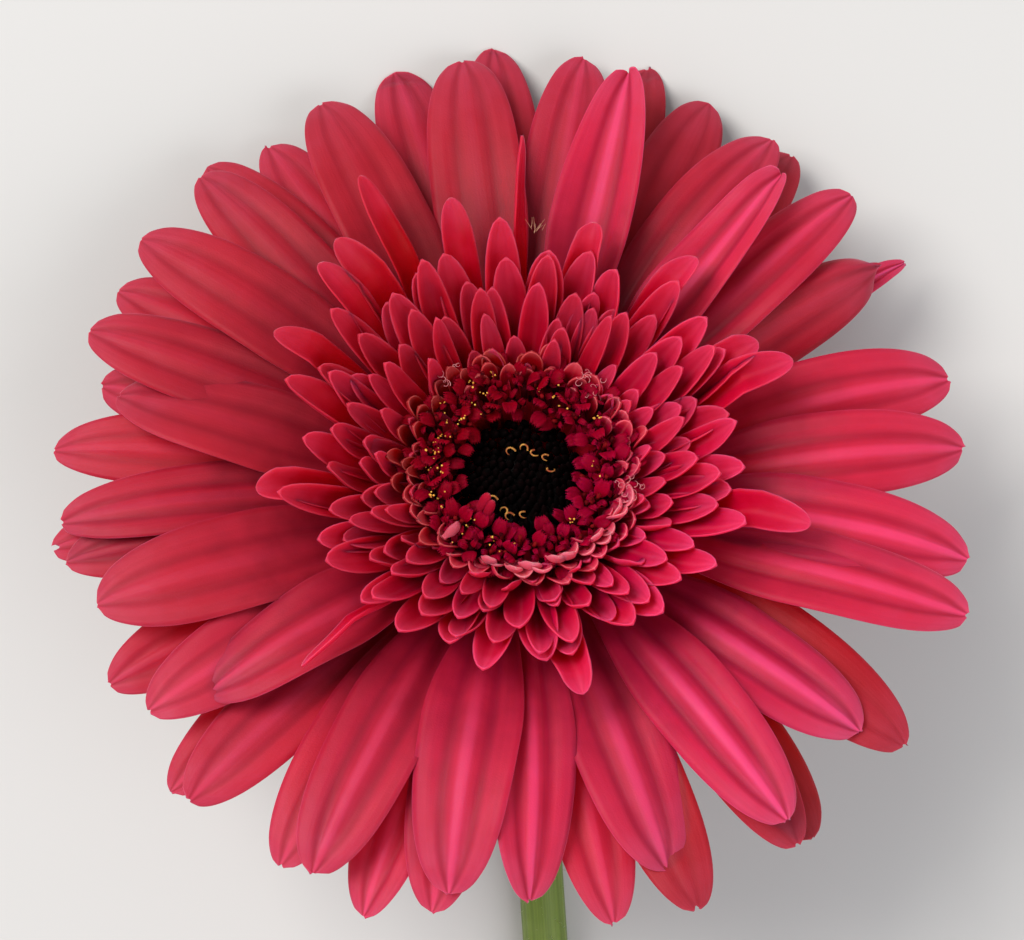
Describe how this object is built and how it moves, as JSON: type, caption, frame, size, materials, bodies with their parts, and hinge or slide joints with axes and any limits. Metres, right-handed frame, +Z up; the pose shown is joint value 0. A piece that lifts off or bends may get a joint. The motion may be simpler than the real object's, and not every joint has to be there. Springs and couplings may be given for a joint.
{
  "type": "cut gerbera daisy",
  "caption": "one large semi-double daisy flower head with a dark disc on a bent, leafless cut stem, lying on its back so that the head faces up",
  "frame": {"origin": "on the surface that the flower lies on, under the middle of its bounding box", "axes": "+Y runs along the lying stem to the head and +Z is up; the head faces up and leans 27 degrees towards +Y"},
  "size_m": [0.1132, 0.4556, 0.0567],
  "materials": {
    "ray_florets": "rose-crimson petal, velvety, finely veined lengthwise",
    "trans_florets": "crimson small petals with pink tips, velvety",
    "disc_florets": "deep red velvety florets with pale stigmas and orange pollen",
    "disc_buds": "near-black unopened buds, matt",
    "stem": "green stalk, satin, with fine hairs and faint ribs",
    "bracts": "green bracts, matt, downy, with darker tips"
  },
  "bodies": {
    "root": {"stem": "stem", "bracts_row_1": "bracts", "bracts_row_2": "bracts", "ray_floret_01": "ray_florets", "ray_floret_02": "ray_florets", "ray_floret_03": "ray_florets", "ray_floret_04": "ray_florets", "ray_floret_05": "ray_florets", "ray_floret_06": "ray_florets", "ray_floret_07": "ray_florets", "ray_floret_08": "ray_florets", "ray_floret_09": "ray_florets", "ray_floret_10": "ray_florets", "ray_floret_11": "ray_florets", "ray_floret_12": "ray_florets", "ray_floret_13": "ray_florets", "ray_floret_14": "ray_florets", "ray_floret_15": "ray_florets", "ray_floret_16": "ray_florets", "ray_floret_17": "ray_florets", "ray_floret_18": "ray_florets", "ray_floret_19": "ray_florets", "ray_floret_20": "ray_florets", "ray_floret_21": "ray_florets", "ray_floret_22": "ray_florets", "ray_floret_23": "ray_florets", "ray_floret_24": "ray_florets", "ray_floret_25": "ray_florets", "ray_floret_26": "ray_florets", "ray_floret_27": "ray_florets", "ray_floret_28": "ray_florets", "ray_floret_29": "ray_florets", "ray_floret_30": "ray_florets", "ray_floret_31": "ray_florets", "ray_floret_32": "ray_florets", "ray_floret_33": "ray_florets", "ray_floret_34": "ray_florets", "ray_floret_35": "ray_florets", "ray_floret_36": "ray_florets", "ray_floret_37": "ray_florets", "ray_floret_38": "ray_florets", "ray_floret_39": "ray_florets", "ray_floret_40": "ray_florets", "ray_floret_41": "ray_florets", "ray_floret_42": "ray_florets", "ray_floret_43": "ray_florets", "ray_floret_44": "ray_florets", "ray_floret_45": "ray_florets", "ray_floret_46": "ray_florets", "ray_floret_47": "ray_florets", "ray_floret_48": "ray_florets", "ray_floret_49": "ray_florets", "ray_floret_50": "ray_florets", "trans_florets_row_1": "trans_florets", "trans_florets_row_2": "trans_florets", "trans_florets_row_3": "trans_florets", "trans_florets_row_4": "trans_florets", "trans_florets_row_5": "trans_florets", "disc_florets": "disc_florets", "disc_buds": "disc_buds"}
  },
  "joints": []
}
